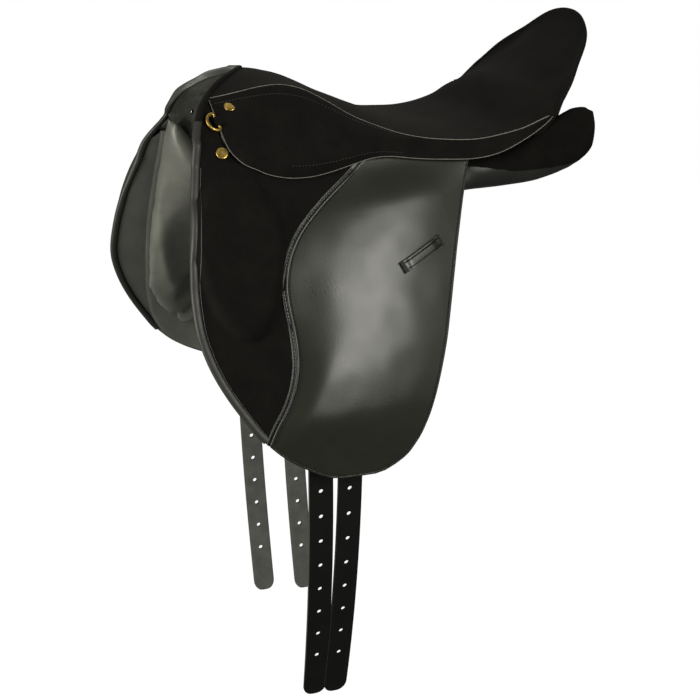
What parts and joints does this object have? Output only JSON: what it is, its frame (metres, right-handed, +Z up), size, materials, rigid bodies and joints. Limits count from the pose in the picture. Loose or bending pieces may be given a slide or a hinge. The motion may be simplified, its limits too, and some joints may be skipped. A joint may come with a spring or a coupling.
{
  "type": "saddle",
  "caption": "English riding saddle with suede seat, cut-back head, hinged skirts and knee-roll flaps, stuffed panels, four punched girth straps, bars and brass D-rings.",
  "frame": {"origin": "on the horse's spine line, straight under the lowest point of the seat", "axes": "+X to the cantle (rear), +Y to the horse's right side, +Z up"},
  "size_m": [0.4787, 0.3942, 0.7089],
  "materials": {
    "suede": "black suede leather, fine short nap",
    "leather": "smooth black-grey saddle leather, soft sheen",
    "panel": "soft black calf leather over wool stuffing",
    "lining": "grey-green creased lining leather",
    "strap": "black bridle leather with cut edges",
    "wood": "laminated beech, bare",
    "steel": "plain steel",
    "brass": "polished brass, slightly worn",
    "foam": "latex foam",
    "webbing": "woven linen webbing"
  },
  "bodies": {
    "saddle": {"tree_head": "wood", "tree_rail_left": "wood", "tree_rail_right": "wood", "tree_cantle": "wood", "gullet_plate": "steel", "seat_web": "webbing", "girth_web_front": "webbing", "girth_web_rear": "webbing", "seat_foam": "foam", "seat_cover": "suede", "seat_welt": "leather", "cantle_back": "suede", "pommel_facing": "lining", "gullet_lining": "lining", "head_side_left": "suede", "head_side_right": "suede", "skirt_sewn_left": "suede", "skirt_sewn_right": "suede", "flap_nailing_left": "leather", "flap_nailing_right": "leather", "sweat_flap_left": "leather", "sweat_flap_right": "leather", "panel_left": "panel", "panel_right": "panel", "stirrup_bar_left": "steel", "stirrup_bar_right": "steel", "d_ring_chape_left": "leather", "d_ring_chape_right": "leather", "skirt_nail_left": "brass", "skirt_nail_right": "brass", "flap_nail_left": "brass", "flap_nail_right": "brass", "girth_strap_upper_front_left": "strap", "girth_strap_upper_rear_left": "strap", "girth_strap_upper_front_right": "strap", "girth_strap_upper_rear_right": "strap"},
    "flap_left": {"flap_backing_left": "leather", "flap_suede_left": "suede", "flap_leather_left": "leather", "flap_band_left": "leather", "flap_binding_left": "suede", "keeper_left": "leather", "knee_pad_left": "foam"},
    "skirt_left": {"skirt_lobe_left": "suede"},
    "latch_left": {"thumb_latch_left": "steel"},
    "ring_left": {"d_ring_left": "brass"},
    "flap_right": {"flap_backing_right": "leather", "flap_suede_right": "suede", "flap_leather_right": "leather", "flap_band_right": "leather", "flap_binding_right": "suede", "keeper_right": "leather", "knee_pad_right": "foam"},
    "skirt_right": {"skirt_lobe_right": "suede"},
    "latch_right": {"thumb_latch_right": "steel"},
    "ring_right": {"d_ring_right": "brass"},
    "strap_front_left": {"girth_strap_front_left": "strap"},
    "strap_rear_left": {"girth_strap_rear_left": "strap"},
    "strap_front_right": {"girth_strap_front_right": "strap"},
    "strap_rear_right": {"girth_strap_rear_right": "strap"}
  },
  "joints": [
    {"name": "flap_lift_left", "type": "hinge", "parent": "saddle", "child": "flap_left", "pos_m": [-0.1, -0.10232, 0.057], "axis": [-1, 0, 0], "range_deg": [0, 70]},
    {"name": "skirt_lift_left", "type": "hinge", "parent": "saddle", "child": "skirt_left", "pos_m": [-0.2, -0.077, 0.092], "axis": [-0.985, 0.1222, 0.1222], "range_deg": [0, 84]},
    {"name": "latch_lift_left", "type": "hinge", "parent": "saddle", "child": "latch_left", "pos_m": [-0.0964, -0.10078, 0.0608], "axis": [0, -1, 0], "range_deg": [0, 45]},
    {"name": "ring_swing_left", "type": "hinge", "parent": "saddle", "child": "ring_left", "pos_m": [-0.2046, -0.0778, 0.098], "axis": [0.2953, -0.547, -0.7833], "range_deg": [-50, 0]},
    {"name": "flap_lift_right", "type": "hinge", "parent": "saddle", "child": "flap_right", "pos_m": [-0.1, 0.10232, 0.057], "axis": [1, 0, 0], "range_deg": [0, 70]},
    {"name": "skirt_lift_right", "type": "hinge", "parent": "saddle", "child": "skirt_right", "pos_m": [-0.2, 0.077, 0.092], "axis": [0.985, 0.1222, -0.1222], "range_deg": [0, 84]},
    {"name": "latch_lift_right", "type": "hinge", "parent": "saddle", "child": "latch_right", "pos_m": [-0.0964, 0.10078, 0.0608], "axis": [0, -1, 0], "range_deg": [0, 45]},
    {"name": "ring_swing_right", "type": "hinge", "parent": "saddle", "child": "ring_right", "pos_m": [-0.2046, 0.0778, 0.098], "axis": [0.2953, 0.547, -0.7833], "range_deg": [0, 50]},
    {"name": "strap_swing_front_left", "type": "hinge", "parent": "saddle", "child": "strap_front_left", "pos_m": [-0.131, -0.16928, -0.229], "axis": [-1, 0, 0], "range_deg": [-25, 35]},
    {"name": "strap_swing_rear_left", "type": "hinge", "parent": "saddle", "child": "strap_rear_left", "pos_m": [-0.101, -0.16955, -0.229], "axis": [-1, 0, 0], "range_deg": [-25, 35]},
    {"name": "strap_swing_front_right", "type": "hinge", "parent": "saddle", "child": "strap_front_right", "pos_m": [-0.107, 0.16956, -0.229], "axis": [1, 0, 0], "range_deg": [-25, 35]},
    {"name": "strap_swing_rear_right", "type": "hinge", "parent": "saddle", "child": "strap_rear_right", "pos_m": [-0.056, 0.16858, -0.229], "axis": [1, 0, 0], "range_deg": [-25, 35]}
  ],
  "couplings": [
    {"joint": "skirt_lift_left", "follows": "flap_lift_left", "ratio": 1.2},
    {"joint": "skirt_lift_right", "follows": "flap_lift_right", "ratio": 1.2}
  ]
}
